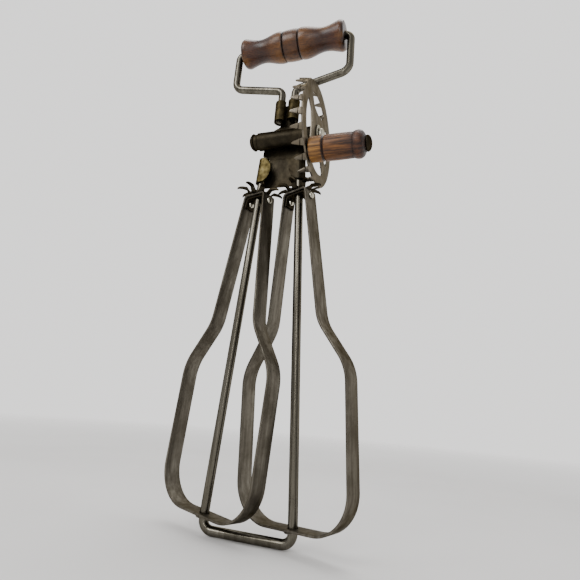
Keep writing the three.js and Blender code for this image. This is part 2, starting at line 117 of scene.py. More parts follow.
def rounded(points, closed=True, step=8):
    """Straight runs with round corners: points are (x, y, radius), and the result (x, y) vectors."""
    outline = []
    count = len(points)
    for i, point in enumerate(points):
        corner = Vector(point[:2])
        radius = point[2] if len(point) > 2 else 0
        if radius == 0 or (not closed and i in (0, count - 1)):
            outline.append(corner)
            continue
        before = (Vector(points[i - 1][:2]) - corner).normalized()
        after = (Vector(points[(i + 1) % count][:2]) - corner).normalized()
        half = math.acos(max(-1, min(1, before.dot(after)))) / 2
        start = corner + before * radius / math.tan(half)
        end = corner + after * radius / math.tan(half)
        centre = corner + (before + after).normalized() * radius / math.sin(half)
        first = math.atan2(start.y - centre.y, start.x - centre.x)
        sweep = math.atan2(end.y - centre.y, end.x - centre.x) - first
        sweep -= 2 * math.pi * round(sweep / (2 * math.pi))
        steps = max(2, math.ceil(abs(sweep) / math.radians(step)))
        for k in range(steps + 1):
            angle = first + sweep * k / steps
            outline.append(centre + Vector((math.cos(angle), math.sin(angle))) * radius)
    return outline


def smooth(points, steps=6):
    """A smooth curve through (x, y) points, as vectors."""
    knots = [Vector(p) for p in points]
    knots = [2 * knots[0] - knots[1]] + knots + [2 * knots[-1] - knots[-2]]
    curve = []
    for i in range(1, len(knots) - 2):
        a, b, c, d = knots[i - 1:i + 3]
        for k in range(steps):
            t = k / steps
            curve.append(0.5 * (2 * b + (c - a) * t + (2 * a - 5 * b + 4 * c - d) * t * t
                                + (3 * b - a - 3 * c + d) * t ** 3))
    curve.append(knots[-2])
    return curve


def circle(radius, count, centre=(0, 0)):
    """Points of a circle, anticlockwise."""
    turn = 2 * math.pi / count
    return [Vector((centre[0] + radius * math.cos(turn * k), centre[1] + radius * math.sin(turn * k)))
            for k in range(count)]


def polar(radius, degrees):
    """The (x, y) place at a radius and an angle."""
    return (radius * math.cos(math.radians(degrees)), radius * math.sin(math.radians(degrees)))


def inside(point, loops):
    """True where a point is inside an odd number of closed loops."""
    odd = False
    for loop in loops:
        for a, b in zip(loop, loop[1:] + loop[:1]):
            if (a.y > point.y) != (b.y > point.y):
                if point.x < (b.x - a.x) * (point.y - a.y) / (b.y - a.y) + a.x:
                    odd = not odd
    return odd


# ---------------------------------------------------------------- meshes

def mesh_from(vertices, faces):
    """A mesh with its faces pointing out."""
    shape = bmesh.new()
    corners = [shape.verts.new(v) for v in vertices]
    for face in faces:
        shape.faces.new([corners[i] for i in face])
    bmesh.ops.recalc_face_normals(shape, faces=shape.faces)
    mesh = bpy.data.meshes.new("shape")
    shape.to_mesh(mesh)
    shape.free()
    return mesh


def lathe(profile, axis="X", centre=(0, 0, 0), count=72):
    """A profile of (radius, distance along the axis) points, turned round the axis.

    It starts and ends on the axis, or else it is closed into a tube.
    """
    rings = []
    vertices = []
    for radius, along in profile:
        if radius < TINY:
            rings.append([len(vertices)] * count)
            vertices.append((0, 0, along))
            continue
        rings.append(list(range(len(vertices), len(vertices) + count)))
        vertices += [(p.x, p.y, along) for p in circle(radius, count)]
    faces = []
    closed = profile[0][0] > TINY
    pairs = list(zip(rings, rings[1:])) + ([(rings[-1], rings[0])] if closed else [])
    for low, high in pairs:
        for k in range(count):
            n = (k + 1) % count
            face = []
            for corner in (low[k], low[n], high[n], high[k]):
                if corner not in face:
                    face.append(corner)
            if len(face) > 2:
                faces.append(face)
    mesh = mesh_from(vertices, faces)
    if axis == "X":
        # The profile's axis becomes +X.
        mesh.transform(Matrix(((0, 0, 1, 0), (1, 0, 0, 0), (0, 1, 0, 0), (0, 0, 0, 1))))
    mesh.transform(Matrix.Translation(centre))
    return mesh


def swept(path, section, closed=False):
    """A section of (across, depth) points carried along a path in the plane y = 0.

    section is a list, or a function that gives the list for a share of the path from 0 to 1.
    """
    count = len(path)
    vertices = []
    for i, point in enumerate(path):
        before = path[i - 1] if closed or i > 0 else path[0]
        after = path[(i + 1) % count] if closed or i < count - 1 else path[-1]
        along = (after - before).normalized()
        normal = Vector((-along.y, along.x))
        shape = section(i / (count - 1)) if callable(section) else section
        for across, depth in shape:
            place = point + normal * across
            vertices.append((place.x, depth, place.y))
    ring = len(vertices) // count
    faces = []
    for i in range(count if closed else count - 1):
        j = (i + 1) % count
        for k in range(ring):
            n = (k + 1) % ring
            faces.append([i * ring + k, i * ring + n, j * ring + n, j * ring + k])
    if not closed:
        faces.append(list(range(ring)))
        faces.append(list(range((count - 1) * ring, count * ring)))
    return mesh_from(vertices, faces)


def sheet(loops, depth, points=(), bend=None):
    """A flat sheet between z = 0 and z = depth: the first loop is its outline, the rest are holes.

    points are more places inside it that get a vertex, and bend moves each vertex.
    """
    flat = []
    edges = []
    for loop in loops:
        start = len(flat)
        flat += loop
        edges += [(start + k, start + (k + 1) % len(loop)) for k in range(len(loop))]
    flat += [p for p in points if inside(p, loops)]
    places, _, triangles, *_ = delaunay_2d_cdt(flat, edges, [], 0, TINY)
    kept = [t for t in triangles if inside(sum((places[i] for i in t), Vector((0, 0))) / 3, loops)]
    count = len(places)
    vertices = [Vector((p.x, p.y, z)) for z in (0, depth) for p in places]
    if bend:
        vertices = [bend(v) for v in vertices]
    faces = [list(t) for t in kept] + [[i + count for i in reversed(t)] for t in kept]
    # A side that only one triangle has is at an edge of the sheet, and gets a wall.
    sides = dict.fromkeys((a, b) for t in kept for a, b in zip(t, t[1:] + t[:1]))
    for a, b in sides:
        if (b, a) not in sides:
            faces.append([b, a, a + count, b + count])
    return mesh_from(vertices, faces)


def in_scene(name, data):
    """A new object in the scene."""
    thing = bpy.data.objects.new(name, data)
    bpy.context.scene.collection.objects.link(thing)
    return thing


def evaluated(base):
    """The mesh that comes out of an object's modifiers. The object goes."""
    bpy.context.view_layer.update()
    result = bpy.data.meshes.new_from_object(base.evaluated_get(bpy.context.evaluated_depsgraph_get()))
    bpy.data.objects.remove(base)
    return result


def boolean(mesh, others, operation):
    """A mesh joined with or cut by the other meshes."""
    base = in_scene("base", mesh)
    helpers = [in_scene("helper", other) for other in others]
    for helper in helpers:
        step = base.modifiers.new("step", "BOOLEAN")
        step.operation = operation
        step.solver = "EXACT"
        step.object = helper
    result = evaluated(base)
    for helper in helpers:
        bpy.data.objects.remove(helper)
    return result


def bevelled(mesh, width, angle=35):
    """A mesh with its sharp edges softened."""
    base = in_scene("base", mesh)
    step = base.modifiers.new("bevel", "BEVEL")
    step.width = width
    step.segments = 2
    step.limit_method = "ANGLE"
    step.angle_limit = math.radians(angle)
    return evaluated(base)


def finish_piece(node, mesh, sharp=38):
    """The fine piece that stands for a CAD node. Edges sharper than an angle stay crisp."""
    mesh.transform(Matrix.Scale(MM, 4))
    mesh.shade_smooth()
    mesh.set_sharp_from_angle(angle=math.radians(sharp))
    mesh.name = f"fine_{node}"
    mesh.materials.clear()
    mesh.materials.append(MATERIALS[SLOT_OF[node]])
    piece = in_scene(f"fine_{node}", mesh)
    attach(piece, BODY_OF[node])
    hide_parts(node)


# ---------------------------------------------------------------- materials

def colour(code):
    """A linear colour from a hexadecimal display colour."""
    parts = [int(code[i:i + 2], 16) / 255 for i in (0, 2, 4)]
    return tuple(c / 12.92 if c < 0.04045 else ((c + 0.055) / 1.055) ** 2.4 for c in parts) + (1,)


class Nodes:
    """A material's node tree, with short calls for the nodes that the materials share."""

    def __init__(self, name):
        self.material = bpy.data.materials.new(name)
        self.material.use_nodes = True
        self.tree = self.material.node_tree
        self.shader = self.tree.nodes["Principled BSDF"]
        self.place = self.tree.nodes.new("ShaderNodeTexCoord").outputs["Object"]

    def link(self, source, target):
        """Join an output to an input."""
        self.tree.links.new(source, target)

    def noise(self, scale, detail=5, roughness=0.55, distortion=0.0):
        """Noise with its own scale, per metre, along each axis."""
        mapping = self.tree.nodes.new("ShaderNodeMapping")
        mapping.inputs["Scale"].default_value = scale
        self.link(self.place, mapping.inputs["Vector"])
        noise = self.tree.nodes.new("ShaderNodeTexNoise")
        noise.inputs["Scale"].default_value = 1
        noise.inputs["Detail"].default_value = detail
        noise.inputs["Roughness"].default_value = roughness
        noise.inputs["Distortion"].default_value = distortion
        self.link(mapping.outputs["Vector"], noise.inputs["Vector"])
        return noise.outputs["Fac"]

    def ramp(self, source, stops):
        """A ramp of (place, colour) stops."""
        ramp = self.tree.nodes.new("ShaderNodeValToRGB")
        while len(ramp.color_ramp.elements) < len(stops):
            ramp.color_ramp.elements.new(0.5)
        for element, (place, value) in zip(ramp.color_ramp.elements, stops):
            element.position = place
            element.color = value
        self.link(source, ramp.inputs["Fac"])
        return ramp.outputs["Color"]

    def spread(self, source, low, high, to_low, to_high):
        """A value range carried to another."""
        spread = self.tree.nodes.new("ShaderNodeMapRange")
        for name, value in (("From Min", low), ("From Max", high), ("To Min", to_low), ("To Max", to_high)):
            spread.inputs[name].default_value = value
        self.link(source, spread.inputs["Value"])
        return spread.outputs["Result"]

    def math(self, operation, first, second=0.0):
        """A calculation on one or two values, each a number or an output."""
        node = self.tree.nodes.new("ShaderNodeMath")
        node.operation = operation
        for socket, value in zip(node.inputs, (first, second)):
            if isinstance(value, (int, float)):
                socket.default_value = value
            else:
                self.link(value, socket)
        return node.outputs["Value"]

    def mix(self, factor, first, second, blend="MIX"):
        """Two colours blended, each of the three a value or an output."""
        mix = self.tree.nodes.new("ShaderNodeMix")
        mix.data_type = "RGBA"
        mix.blend_type = blend
        for socket, value in ((mix.inputs[0], factor), (mix.inputs[6], first), (mix.inputs[7], second)):
            if isinstance(value, (int, float, tuple)):
                socket.default_value = value
            else:
                self.link(value, socket)
        return mix.outputs[2]

    def bump(self, height, strength, distance):
        """Relief on the surface, its distance in metres."""
        bump = self.tree.nodes.new("ShaderNodeBump")
        bump.inputs["Strength"].default_value = strength
        bump.inputs["Distance"].default_value = distance
        self.link(height, bump.inputs["Height"])
        self.link(bump.outputs["Normal"], self.shader.inputs["Normal"])

    def axis(self, name, centre=0.0):
        """The distance along one axis from a place, in metres."""
        split = self.tree.nodes.new("ShaderNodeSeparateXYZ")
        self.link(self.place, split.inputs["Vector"])
        return self.math("SUBTRACT", split.outputs[name], centre)

    def set(self, **values):
        """Plain values for the shader's inputs."""
        for name, value in values.items():
            self.shader.inputs[name.replace("_", " ")].default_value = value


def grip_wood():
    """Stained hardwood: amber swells, red-brown waists, black grooves, worn varnish, and painted shade on
    the ends.
    """
    wood = Nodes("grip_wood")
    along = wood.math("DIVIDE", wood.math("ABSOLUTE", wood.axis("X")), GRIP["half"] * MM)
    zones = wood.ramp(along, [
        (0.00, colour("5b3917")), (0.12, colour("4a2c12")), (0.142, colour("1a0d07")),
        (0.165, colour("1a0d07")), (0.19, colour("69431a")), (0.34, colour("593717")),
        (0.50, colour("3a1e0e")), (0.62, colour("2d160a")), (0.80, colour("46230e")),
        # The last stop is painted shade: it darkens the grip's rounded ends and end faces.
        (0.93, colour("553112")), (0.985, colour("1c0d07"))])
    patches = wood.noise((70, 150, 150), detail=4, roughness=0.6, distortion=0.6)
    stained = wood.mix(wood.spread(patches, 0.42, 0.66, 0.0, 0.75), zones, colour("321508"))
    amber = wood.noise((45, 95, 95), detail=3, roughness=0.5)
    warmed = wood.mix(wood.spread(amber, 0.5, 0.68, 0.0, 0.45), stained, colour("8a5d1f"))
    grain = wood.noise((85, 1500, 1500), detail=7, roughness=0.7, distortion=0.5)
    lines = wood.ramp(grain, [(0.34, (0.38, 0.36, 0.34, 1)), (0.5, (0.9, 0.88, 0.86, 1)),
                              (0.66, (1.2, 1.15, 1.05, 1))])
    streaked = wood.mix(1.0, warmed, lines, "MULTIPLY")
    wood.link(streaked, wood.shader.inputs["Base Color"])
    wood.link(wood.spread(patches, 0.3, 0.7, 0.27, 0.46), wood.shader.inputs["Roughness"])
    wood.set(Coat_Weight=0.12, Coat_Roughness=0.25, Specular_IOR_Level=0.35)
    wood.bump(grain, 0.3, 0.00018)
    return wood.material


def knob_wood():
    """Open-grained wood with dark streaks along it, paler beside the wheel."""
    wood = Nodes("knob_wood")
    along = wood.math("DIVIDE", wood.axis("X", KNOB["start"] * MM), KNOB["length"] * MM)
    zones = wood.ramp(along, [
        (0.00, colour("785022")), (0.04, colour("8f6730")), (0.22, colour("7b5628")),
        (0.24, colour("2a150b")), (0.27, colour("2a150b")), (0.29, colour("6e4720")),
        (0.60, colour("68421d")), (0.74, colour("533015")), (0.79, colour("341b0c")),
        (0.86, colour("5a3417")), (0.94, colour("3a1d0c")), (1.0, colour("1f0f07"))])
    streaks = wood.noise((38, 620, 620), detail=6, roughness=0.62, distortion=0.35)
    broad = wood.ramp(streaks, [
        (0.37, (0.2, 0.16, 0.13, 1)), (0.46, (0.62, 0.56, 0.52, 1)), (0.56, (1.0, 0.98, 0.95, 1)),
        (0.66, (1.45, 1.4, 1.3, 1))])
    pores = wood.noise((120, 2600, 2600), detail=4, roughness=0.6)
    narrow = wood.ramp(pores, [(0.38, (0.6, 0.57, 0.54, 1)), (0.55, (1.06, 1.05, 1.03, 1))])
    streaked = wood.mix(1.0, zones, broad, "MULTIPLY")
    worn = wood.mix(1.0, streaked, narrow, "MULTIPLY")
    wood.link(worn, wood.shader.inputs["Base Color"])
    wood.link(wood.spread(streaks, 0.35, 0.65, 0.62, 0.4), wood.shader.inputs["Roughness"])
    wood.set(Coat_Weight=0.06, Coat_Roughness=0.3, Specular_IOR_Level=0.35)
    wood.bump(streaks, 0.55, 0.0003)
    return wood.material


def box_mask(nodes, low, high):
    """1 inside a box of places in millimetres, 0 outside it. None leaves a side open."""
    mask = 1.0
    for name, least, most in zip("XYZ", low, high):
        along = nodes.axis(name)
        if least is not None:
            mask = nodes.math("MULTIPLY", mask, nodes.math("GREATER_THAN", along, least * MM))
        if most is not None:
            mask = nodes.math("MULTIPLY", mask, nodes.math("LESS_THAN", along, most * MM))
    return mask


def ear_patina(nodes, under):
    """Khaki on the front of the lower left ear, olive brown on the upper ears."""
    cloud = nodes.noise((260, 260, 260), detail=4)
    khaki = nodes.ramp(cloud, [(0.35, colour("3a321c")), (0.55, colour("584e31")), (0.7, colour("675d40"))])
    olive = nodes.ramp(cloud, [(0.35, colour("2b2519")), (0.6, colour("463e2a"))])
    tab_top = PLATE["bottom"] + LOWER_EAR["height"] + 4.5
    tab = box_mask(nodes, (None, None, PLATE["bottom"]), (0, -PLATE["front"] - 0.3 * SHEET, tab_top))
    ear_bottom = PLATE["top"] - UPPER_EAR["height"] - 0.5
    upper = box_mask(nodes, (None, None, ear_bottom), (None, 2, PLATE["top"] + 1))
    return nodes.mix(tab, nodes.mix(upper, under, olive), khaki)


def steel(name, tones, stain, stain_amount, roughness, streak, pits, patina=None):
    """Old steel: streaks along the work, soft stains, uneven polish and dark edges.

    tones go from dark to light, roughness is its least and its most, and streak is the noise's
    scale. patina, where there is one, adds coloured areas of the piece to the finished colour.
    """
    metal = Nodes(name)
    lines = metal.noise(streak, detail=6, roughness=0.65)
    cloud = metal.noise((55, 55, 40), detail=4, roughness=0.6, distortion=0.4)
    spots = metal.noise((420, 420, 420), detail=5, roughness=0.7)
    stops = [(place, colour(tone)) for place, tone in zip((0.32, 0.5, 0.68), tones)]
    brushed = metal.ramp(lines, stops)
    stained = metal.spread(cloud, 0.45, 0.68, 0.0, stain_amount)
    clouded = metal.mix(stained, brushed, colour(stain))
    pitting = metal.ramp(spots, [(0.28, (1 - pits, 1 - pits, 1 - 1.1 * pits, 1)), (0.4, (1, 1, 1, 1))])
    pitted = metal.mix(1.0, clouded, pitting, "MULTIPLY")
    finished = patina(metal, pitted) if patina else pitted
    metal.link(finished, metal.shader.inputs["Base Color"])
    uneven = metal.math("ADD", metal.spread(cloud, 0.3, 0.7, 0.0, 0.5),
                        metal.spread(spots, 0.3, 0.7, 0.5, 0.0))
    dullness = metal.spread(uneven, 0.2, 0.8, *roughness)
    metal.link(dullness, metal.shader.inputs["Roughness"])
    metal.set(Metallic=1.0, Specular_Tint=(0.34, 0.33, 0.31, 1))
    metal.bump(lines, 0.08, 0.00004)
    return metal.material


STEELS = {
    "wire_steel": dict(tones=("4c4940", "625e54", "78746a"), stain="444038", stain_amount=0.5,
                       roughness=(0.22, 0.28), streak=(400, 400, 9), pits=0.12),
    "strip_steel": dict(tones=("4c4840", "605b52", "747066"), stain="423d33", stain_amount=0.6,
                        roughness=(0.34, 0.48), streak=(350, 350, 9), pits=0.3),
    "frame_steel": dict(tones=("211d17", "2c2820", "3b3529"), stain="40382a", stain_amount=0.45,
                        roughness=(0.36, 0.55), streak=(130, 130, 60), pits=0.4, patina=ear_patina),
    "wheel_steel": dict(tones=("655f54", "736c60", "847d71"), stain="5a4f3b", stain_amount=0.5,
                        roughness=(0.36, 0.48), streak=(25, 140, 140), pits=0.25),
    "bright_steel": dict(tones=("aaa595", "bdb9a9", "cfccbe"), stain="8f866f", stain_amount=0.3,
                         roughness=(0.22, 0.3), streak=(200, 200, 200), pits=0.05),
}
MATERIALS = {"grip_wood": grip_wood(), "knob_wood": knob_wood()}
MATERIALS.update({name: steel(name, **look) for name, look in STEELS.items()})


# ---------------------------------------------------------------- grip and its wire

def build_grip():
    """The turned grip: end beads, waists, swells and two grooves, on a clear bore."""
    half, end, waist, swell = GRIP["half"], GRIP["end"], GRIP["waist"], GRIP["swell"]
    side = smooth([(8.1, swell - 0.25), (10, swell), (13.5, swell - 0.2), (18, swell - 1.1),
                   (23, waist + 0.75), (28, waist), (33.5, waist + 0.45), (39, end - 1.0),
                   (42.6, end - 0.05), (44.6, end - 0.25)])
    middle = smooth([(0, swell), (3, swell - 0.05), (5.9, swell - 0.35)])
    groove = smooth([(6.5, swell - 0.45), (6.85, GRIP["groove"]), (7.15, GRIP["groove"]),
                     (7.5, swell - 0.45)], 4)
    edge = smooth([(45.4, end - 0.6), (46.1, end - 1.3), (half, end - 2.4)], 4)
    right = middle + groove + side + edge
    profile = [(GRIP["bore"], -half)]
    profile += [(p.y, -p.x) for p in reversed(right[1:])]
    profile += [(p.y, p.x) for p in right]
    profile += [(GRIP["bore"], half)]
    finish_piece("top_grip", lathe(profile, count=96), sharp=60)


def wire(route):
    """A round bent wire along (x, z, bend radius) points."""
    return swept(rounded(route, closed=False, step=5), circle(WIRE_RADIUS, 32))


def build_handle_wire():
    """The wire through the grip, down both sides, in to the neck and down into the frame."""
    half = [(BAIL["neck_x"], BAIL["end_z"]), (BAIL["neck_x"], BAIL["neck_top"], BAIL["bend"]),
            (BAIL["leg_x"], BAIL["corner_z"], BAIL["bend"] + 3), (BAIL["leg_x"], 0, BAIL["bend"])]
    left = [(-x, *rest) for x, *rest in half]
    finish_piece("handle_wire", wire(left + half[::-1]))


def build_dasher_wire():
    """Both leaning rods and the bar that joins them at the bottom."""
    top = PINION["spacing"] / 2 - (ROD["top_z"] - PINION["z"]) * math.tan(TILT)
    left = [(-top, ROD["top_z"]), (-ROD["bar_half"], ROD["bar_z"], ROD["bend"])]
    right = [(-x, *rest) for x, *rest in reversed(left)]
    finish_piece("dasher_wire", wire(left + right))


# ---------------------------------------------------------------- pressed frame

def on_rod(side, down):
    """A point on a rod's centre line, a distance down it from the pinion plane."""
    return Vector((side * (PINION["spacing"] / 2 + down * math.sin(TILT)), 0,
                   PINION["z"] - down * math.cos(TILT)))


def leaning_with_rod(side):
    """The turn that leans an upright shape along a rod."""
    return Matrix.Rotation(-side * TILT, 4, "Y")


def facing_y(mesh, front):
    """A sheet made in x and y, stood up in x and z with its front face at y = front."""
    mesh.transform(Matrix(((1, 0, 0, 0), (0, 0, 1, front), (0, 1, 0, 0), (0, 0, 0, 1))))
    return mesh


def fold(side, height, wrap):
    """The part of an ear that runs round a wire, from the back at 90 degrees to the wrap angle."""
    steps = 24
    arc = [math.radians(90 + (wrap - 90) * k / steps) for k in range(steps + 1)]
    directions = [Vector((-side * math.cos(a), math.sin(a))) for a in arc]
    outer = [d * (PLATE["front"] + SHEET) for d in directions]
    inner = [d * PLATE["front"] for d in directions]
    return sheet([outer + inner[::-1]], height)


def upper_ear(side):
    """An ear round one end of the handle wire."""
    ear = fold(side, UPPER_EAR["height"], UPPER_EAR["wrap"])
    ear.transform(Matrix.Translation((side * BAIL["neck_x"], 0, PLATE["top"] - UPPER_EAR["height"])))
    return ear


def lower_ear(side):
    """An ear round one rod, with a half-round tab on its front."""
    half = LOWER_EAR["height"] / 2
    angles = [math.radians(-90 + 6 * k) for k in range(31)]
    tab = [Vector((side * (LOWER_EAR["tab_middle"] - LOWER_EAR["tab_reach"] * math.cos(a)),
                   half * (1 + math.sin(a)))) for a in angles]
    front = facing_y(sheet([tab], SHEET), -PLATE["front"] - SHEET)
    ear = boolean(fold(side, LOWER_EAR["height"], LOWER_EAR["wrap"]), [front], "UNION")
    ear.transform(Matrix.Translation(on_rod(side, -LOWER_EAR["above"])) @ leaning_with_rod(side))
    return ear


def build_frame_plate():
    """The pressed plate with its four ears."""
    right = [(6.3, PLATE["top"], 0), (6.3, -80.5, 1), (14.5, -84.5, 3), (18.5, -96, 6), (19.3, -108.4, 3),
             (11.5, -111, 1.2), (14.9, -113.8, 0), (16.4, PLATE["bottom"], 0)]
    left = [(-x, z, r) for x, z, r in reversed(right)]
    plate = facing_y(sheet([rounded(right + left)], SHEET), PLATE["front"])
    ears = [ear(side) for side in (-1, 1) for ear in (upper_ear, lower_ear)]
    finish_piece("frame_plate", bevelled(boolean(plate, ears, "UNION"), 0.22))


# ---------------------------------------------------------------- crank: axle, wheel and knob

def ring(inner, outer, start, end, ease=0.25):
    """A washer's or tube's closed profile with eased edges."""
    corners = [(inner, start, 0.1), (outer, start, ease), (outer, end, ease), (inner, end, 0.1)]
    return rounded(corners, step=30)


def build_axle():
    """The axle with its domed head, the sleeve that it turns in, its washers and the hub nut."""
    start = SLEEVE["left"] - WASHER["axle_thickness"] - 2 * GAP
    hub = WHEEL_OUT + GAP + WASHER["hub_thickness"]
    nut = hub + GAP
    end = hub - 0.1
    head = AXLE["head"]
    dome = smooth([(0, start - AXLE["head_length"]), (2.6, start - 3.9), (4.9, start - 2.9),
                   (head - 0.6, start - 1.4), (head, start - 0.3)])
    profile = dome + [(head - 0.2, start), (AXLE["radius"], start), (AXLE["radius"], end), (0, end)]
    finish_piece("crank_axle", lathe(profile, centre=AXIS))
    sleeve = ring(SLEEVE["bore"], SLEEVE["radius"], SLEEVE["left"], SLEEVE["right"], 0.6)
    finish_piece("axle_sleeve", lathe(sleeve, centre=AXIS))
    washers = {
        "axle_washer": (WASHER["axle"], start + GAP, SLEEVE["left"] - GAP),
        "thrust_washer": (WASHER["thrust"], SLEEVE["right"] + GAP, WHEEL["face"] - GAP),
        "hub_washer": (WASHER["hub"], WHEEL_OUT + GAP, hub),
    }
    for node, (radius, low, high) in washers.items():
        finish_piece(node, lathe(ring(AXLE["radius"] + GAP, radius, low, high), centre=AXIS))
    radius = NUT["radius"]
    dome = smooth([(radius, nut + 0.9), (4.6, nut + 2), (3.7, nut + 2.9), (2, nut + 3.45),
                   (0, nut + NUT["height"])])
    finish_piece("hub_nut", lathe([(0, nut), (radius - 0.2, nut), (radius, nut + 0.2)] + dome, centre=AXIS))


def window(centre):
    """A window between two spokes: an arc outside, a flatter arc inside, round corners."""
    low, high, side = WHEEL["window_in"], WHEEL["window_out"], 34
    corner = 3
    outer = [(high, -side, corner)] + [(high, a, 0) for a in range(-26, 27, 4)] + [(high, side, corner)]
    inner = [(low + 4.5, 33, 4), (low + 0.15, 12, 0), (low - 0.4, 0, 0), (low + 0.15, -12, 0),
             (low + 4.5, -33, 4)]
    return rounded([(*polar(radius, centre + a), bend) for radius, a, bend in outer + inner])


def crown_tooth(angle):
    """A tapered tongue that bends over at the rim, its tip leaning out."""
    rise = WHEEL["face"] - WHEEL["tooth_length"]
    middle = WHEEL["radius"] - WHEEL["thickness"] / 2
    disc_plane = WHEEL["face"] + WHEEL["thickness"] / 2
    taper_start = disc_plane - 0.8
    overlap = 3.2
    bend_radius = 0.85
    bend_end = 2
    lean = math.tan(math.radians(WHEEL["splay"]))

    def leaning(distance):
        """A point of the tooth's middle line, a distance inward from the disc's plane."""
        return Vector((disc_plane - distance, middle + lean * distance))

    corner = (disc_plane, middle, bend_radius)
    bend = rounded([(disc_plane, middle - overlap), corner, leaning(bend_end)], closed=False, step=12)
    path = bend + [leaning(bend_end + (disc_plane - bend_end - rise) * k / 10) for k in range(1, 11)]

    def section(share):
        """The tooth's section, narrower and thinner towards its tip."""
        place = path[round(share * (len(path) - 1))]
        reach = max(0, (taper_start - place.x) / (taper_start - rise))
        width = WHEEL["tooth_root"] / 2 * (1 - reach) + WHEEL["tooth_tip"] / 2 * reach
        half = WHEEL["thickness"] / 2 * (0.98 - 0.35 * reach ** 3)
        if reach > 0.98:
            # The last section is smaller, which rounds the tip.
            width, half = width * 0.55, half * 0.6
        edge = min(0.3, width * 0.4, half * 0.4)
        corners = [(-half, -width, edge), (half, -width, edge), (half, width, edge), (-half, width, edge)]
        return rounded(corners, step=45)

    tooth = swept(path, section)
    # The path's plane has +X across and the radius up; it is then turned to the tooth's place.
    tooth.transform(Matrix.Rotation(math.radians(angle - 90), 4, "X"))
    return tooth


def build_wheel():
    """The stamped wheel: a disc with four windows and a crown of bent teeth."""
    rim = WHEEL["radius"] - WHEEL["thickness"] + 0.7
    pin = circle(PIN["radius"] + GAP, 24, polar(KNOB["crank"], KNOB["angle"]))
    loops = [circle(rim, 144)] + [window(WHEEL["window_at"] + 90 * k) for k in range(4)]
    loops += [circle(AXLE["radius"] + GAP, 32), pin]
    disc = sheet(loops, WHEEL["thickness"])
    # The sheet's x and y become the wheel's y and z.
    disc.transform(Matrix(((0, 0, 1, WHEEL["face"]), (1, 0, 0, 0), (0, 1, 0, 0), (0, 0, 0, 1))))
    disc = bevelled(disc, 0.25)
    turn = 360 / WHEEL["teeth"]
    teeth = [crown_tooth(WHEEL["first_tooth"] + turn * k) for k in range(WHEEL["teeth"])]
    wheel = boolean(disc, teeth, "UNION")
    wheel.transform(Matrix.Translation(AXIS))
    finish_piece("drive_wheel", wheel, sharp=42)


def build_knob():
    """The turned knob: a groove near the wheel, a bead near its outer end."""
    start, radius = KNOB["start"], KNOB["radius"]
    end = start + KNOB["length"]
    body = smooth([(start + 0.9, radius), (start + 5, radius + 0.05), (start + 9.5, radius)], 4)
    groove = smooth([(start + 10.1, radius - 0.7), (start + 10.5, radius - 1.05),
                     (start + 10.9, radius - 0.7)], 3)
    barrel = smooth([(start + 11.5, radius), (start + 20, radius + 0.1), (end - 9.8, radius - 0.15),
                     (end - 8.9, radius - 0.45), (end - 8.0, radius + 0.1), (end - 6.2, radius + 0.6),
                     (end - 4.0, radius + 0.6), (end - 2.2, radius - 0.2), (end - 1.0, radius - 1.5),
                     (end - 0.5, radius - 2.6)], 5)
    profile = [(KNOB["bore"], start), (radius - 0.8, start), (radius - 0.25, start + 0.25)]
    profile += [(p.y, p.x) for p in body + groove + barrel]
    profile += [(6.0, end), (KNOB["bore"], end)]
    finish_piece("crank_knob", lathe(profile, centre=KNOB_AXIS, count=96), sharp=60)


def build_knob_pin():
    """The pin that the knob turns on, peened inside the wheel, and the washer under the knob."""
    head = KNOB["start"] + KNOB["length"] + GAP
    peen = WHEEL["face"] - GAP
    dome = smooth([(PIN["head"] - 0.2, head + 0.2), (PIN["head"], head + 1), (5.2, head + 2.3),
                   (4.0, head + 3.1), (2.1, head + 3.7), (0, head + PIN["head_length"])], 5)
    profile = [(0, peen - 1.6), (2.2, peen - 1.5), (3.3, peen - 1), (3.8, peen - 0.3), (3.8, peen),
               (PIN["radius"], peen), (PIN["radius"], head), (PIN["head"] - 0.5, head)] + dome
    finish_piece("knob_pin", lathe(profile, centre=KNOB_AXIS))
    washer = ring(PIN["radius"] + GAP, WASHER["knob"], WHEEL_OUT + GAP, KNOB["start"] - GAP)
    finish_piece("knob_washer", lathe(washer, centre=KNOB_AXIS))


# ---------------------------------------------------------------- pinions and dashers

def pinion_drop(radius):
    """How far a pinion's sheet lies below its tooth plane: dished hub, drooping tips."""
    low, high = PINION["flat_in"], PINION["flat_out"]
    if radius < low:
        share = min(1, max(0, (low - radius) / (low - PINION["dish_out"])))
        return PINION["dish"] * (3 * share ** 2 - 2 * share ** 3)
    return PINION["droop"] * (max(0, radius - high) / (PINION["tip"] - high)) ** 2


def star_pinion():
    """A star wheel of thin sheet. Its inner points let the sheet follow the dished shape."""
    root, tip, teeth = PINION["root"], PINION["tip"], PINION["teeth"]
    pitch = 360 / teeth
    valley = 15.5
    half_widths = [(root + 0.9, 2.1), (PINION["flat_in"], 1.6), (PINION["flat_out"], 1.15),
                   (tip - 1.8, 0.8), (tip - 0.4, 0.4)]
    edge = [(radius, -half) for radius, half in half_widths] + [(tip, 0)]
    edge += reversed(half_widths)
    outline = []
    inner_points = []
    for k in range(teeth):
        middle = pitch * k
        outline += [Vector(polar(radius, middle + math.degrees(math.asin(across / radius))))
                    for radius, across in edge]
        outline += [Vector(polar(root, middle + valley + (pitch - 2 * valley) * share))
                    for share in (0.25, 0.5, 0.75)]
        inner_points += [Vector(polar(root + 0.9 + 0.55 * i, middle)) for i in range(19)]
    for radius in (root - 2.6, root - 1.2, root - 0.2):
        inner_points += circle(radius, 48)

    def dropped(v):
        """A vertex moved down to the pinion's dished shape."""
        return Vector((v.x, v.y, v.z - PINION["thickness"] / 2 - pinion_drop(v.to_2d().length)))

    star = sheet([outline, circle(BAND["bore"], 32)], PINION["thickness"], inner_points, dropped)
    return bevelled(star, 0.18, angle=50)


